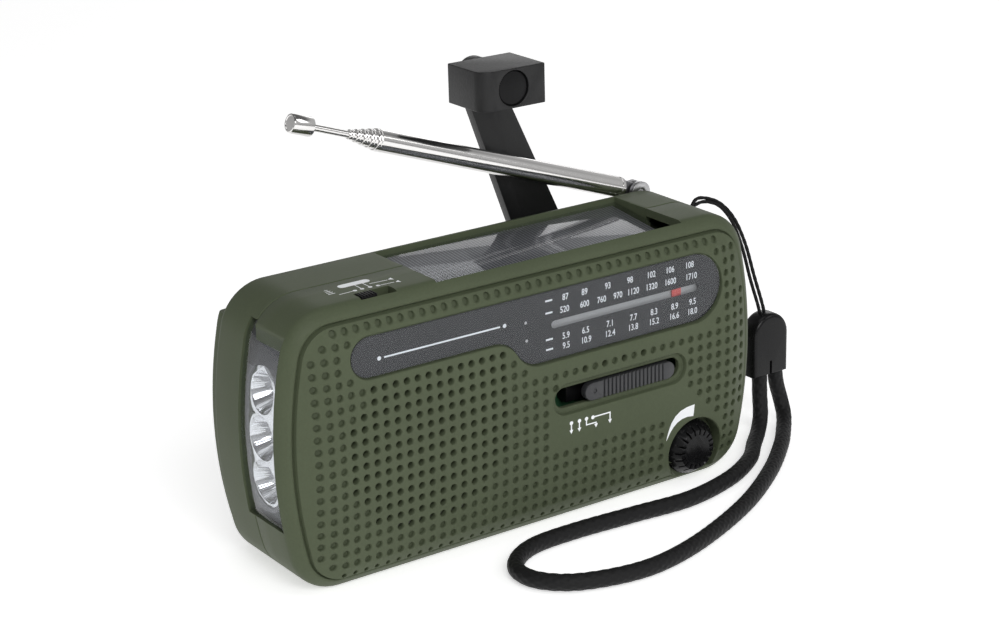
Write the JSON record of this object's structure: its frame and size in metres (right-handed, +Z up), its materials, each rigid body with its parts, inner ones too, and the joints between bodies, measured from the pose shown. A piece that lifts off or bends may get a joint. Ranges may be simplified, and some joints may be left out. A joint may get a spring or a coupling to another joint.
{
  "type": "emergency radio",
  "caption": "Pocket radio with domed perforated front, dial window, solar panel, end torch, folding dynamo crank, telescopic antenna and wrist strap.",
  "frame": {"origin": "centre of the base, on the surface it stands on", "axes": "+X right across the front, +Y from front to back, +Z up"},
  "size_m": [0.1753, 0.0892, 0.117],
  "materials": {
    "green_plastic": "fine matte, olive green",
    "black_plastic": "fine matte",
    "gloss_dark": "printed, glossy",
    "pale_plastic": "satin",
    "red_plastic": "glossy",
    "clear": "clear",
    "solar_cell": "glossy, fine lines",
    "reflector_chrome": "vacuum metallised",
    "led_lens": "clear epoxy",
    "board_green": "solder mask",
    "steel": "plated",
    "chrome": "polished",
    "paper_cone": "pressed paper",
    "ferrite": "sintered",
    "copper": "enamelled wire",
    "gear_white": "natural",
    "zinc": "plated",
    "cell_blue": "sleeved",
    "cord_black": "braided"
  },
  "bodies": {
    "case": {"front_shell": "green_plastic", "rear_shell": "green_plastic", "dial_window": "clear", "dial_film": "gloss_dark", "dial_plate": "pale_plastic", "solar_panel": "solar_cell", "solar_cover": "clear", "torch_lens": "clear", "torch_bezel": "gloss_dark", "torch_reflector": "reflector_chrome", "torch_leds": "led_lens", "torch_board": "board_green", "speaker_frame": "steel", "speaker_cone": "paper_cone", "speaker_magnet": "steel", "main_board": "board_green", "tuning_capacitor": "pale_plastic", "volume_pot": "zinc", "band_switch": "zinc", "mode_switch": "zinc", "ferrite_rod": "ferrite", "ferrite_coil": "copper", "battery_cells": "cell_blue", "battery_contacts": "steel", "gear_plate": "zinc", "idler_axle": "steel", "dynamo_can": "steel", "dynamo_coil": "copper", "antenna_bracket": "zinc", "bracket_screws": "steel", "antenna_screw": "steel", "earphone_jack": "black_plastic", "charge_socket": "zinc", "housing_screws": "steel", "strap_cord": "cord_black", "strap_ferrule": "black_plastic", "strap_rope": "cord_black"},
    "pointer": {"pointer": "red_plastic"},
    "tuning_wheel": {"tuning_wheel": "black_plastic"},
    "volume_knob": {"volume_knob": "black_plastic"},
    "band_slider": {"band_slider": "black_plastic"},
    "mode_slider": {"mode_slider": "black_plastic"},
    "battery_door": {"battery_door": "green_plastic"},
    "crank": {"crank_hub": "black_plastic", "crank_pin": "steel", "drive_gear": "gear_white"},
    "crank_arm": {"crank_arm": "black_plastic", "knob_spindle": "steel"},
    "crank_knob": {"crank_knob": "black_plastic", "knob_cap": "black_plastic"},
    "idler": {"idler_gear": "gear_white"},
    "rotor": {"dynamo_rotor": "steel"},
    "antenna": {"antenna_knuckle": "zinc", "antenna_tube_1": "chrome"},
    "antenna_2": {"antenna_tube_2": "chrome"},
    "antenna_3": {"antenna_tube_3": "chrome"},
    "antenna_4": {"antenna_tube_4": "chrome"},
    "antenna_5": {"antenna_tube_5": "chrome"},
    "antenna_6": {"antenna_tip": "chrome"}
  },
  "joints": [
    {"name": "crank_spin", "type": "hinge", "parent": "case", "child": "crank", "pos_m": [0.0427, 0.02, 0.0424], "axis": [0, 1, 0], "range_deg": [-8, 240]},
    {"name": "idler_spin", "type": "hinge", "parent": "case", "child": "idler", "pos_m": [0.0201, 0.013, 0.03417], "axis": [0, 1, 0], "range_deg": [-970, 50]},
    {"name": "rotor_spin", "type": "hinge", "parent": "case", "child": "rotor", "pos_m": [0.03053, 0.005, 0.01612], "axis": [0, 1, 0], "range_deg": [-120, 3300]},
    {"name": "crank_fold", "type": "hinge", "parent": "crank", "child": "crank_arm", "pos_m": [0.0427, 0.0289, 0.0424], "axis": [-0.9245, 0, -0.3811], "range_deg": [0, 180]},
    {"name": "knob_spin", "type": "hinge", "parent": "crank_arm", "child": "crank_knob", "pos_m": [0.01412, 0.02, 0.11174], "axis": [0, 1, 0], "continuous": true},
    {"name": "antenna_tilt", "type": "hinge", "parent": "case", "child": "antenna", "pos_m": [0.062, 0.0223, 0.0726], "axis": [0, 1, 0], "range_deg": [-19.3, 7]},
    {"name": "antenna_slide_1", "type": "slide", "parent": "antenna", "child": "antenna_2", "axis": [-0.9438, 0, 0.3305], "range_m": [0, 0.072]},
    {"name": "antenna_slide_2", "type": "slide", "parent": "antenna_2", "child": "antenna_3", "axis": [-0.9438, 0, 0.3305], "range_m": [0, 0.072]},
    {"name": "antenna_slide_3", "type": "slide", "parent": "antenna_3", "child": "antenna_4", "axis": [-0.9438, 0, 0.3305], "range_m": [0, 0.072]},
    {"name": "antenna_slide_4", "type": "slide", "parent": "antenna_4", "child": "antenna_5", "axis": [-0.9438, 0, 0.3305], "range_m": [0, 0.072]},
    {"name": "antenna_slide_5", "type": "slide", "parent": "antenna_5", "child": "antenna_6", "axis": [-0.9438, 0, 0.3305], "range_m": [-0.0105, 0.072]},
    {"name": "tuning_spin", "type": "hinge", "parent": "case", "child": "tuning_wheel", "pos_m": [0.0595, 0.006, 0.042], "axis": [0, 1, 0], "range_deg": [-171, 22]},
    {"name": "pointer_slide", "type": "slide", "parent": "case", "child": "pointer", "axis": [1, 0, 0], "range_m": [-0.0386, 0.00505]},
    {"name": "volume_spin", "type": "hinge", "parent": "case", "child": "volume_knob", "pos_m": [0.0517, -0.015, 0.0102], "axis": [0, 1, 0], "range_deg": [0, 270]},
    {"name": "band_slide", "type": "slide", "parent": "case", "child": "band_slider", "axis": [1, 0, 0], "range_m": [-0.0075, 0]},
    {"name": "mode_slide", "type": "slide", "parent": "case", "child": "mode_slider", "axis": [1, 0, 0], "range_m": [0, 0.005]},
    {"name": "battery_door_slide", "type": "slide", "parent": "case", "child": "battery_door", "axis": [0, 1, 0], "range_m": [0, 0.015]}
  ],
  "couplings": [
    {"joint": "idler_spin", "follows": "crank_spin", "ratio": -4},
    {"joint": "rotor_spin", "follows": "crank_spin", "ratio": 13.333},
    {"joint": "pointer_slide", "follows": "tuning_spin", "m_per_rad": 0.0129}
  ]
}
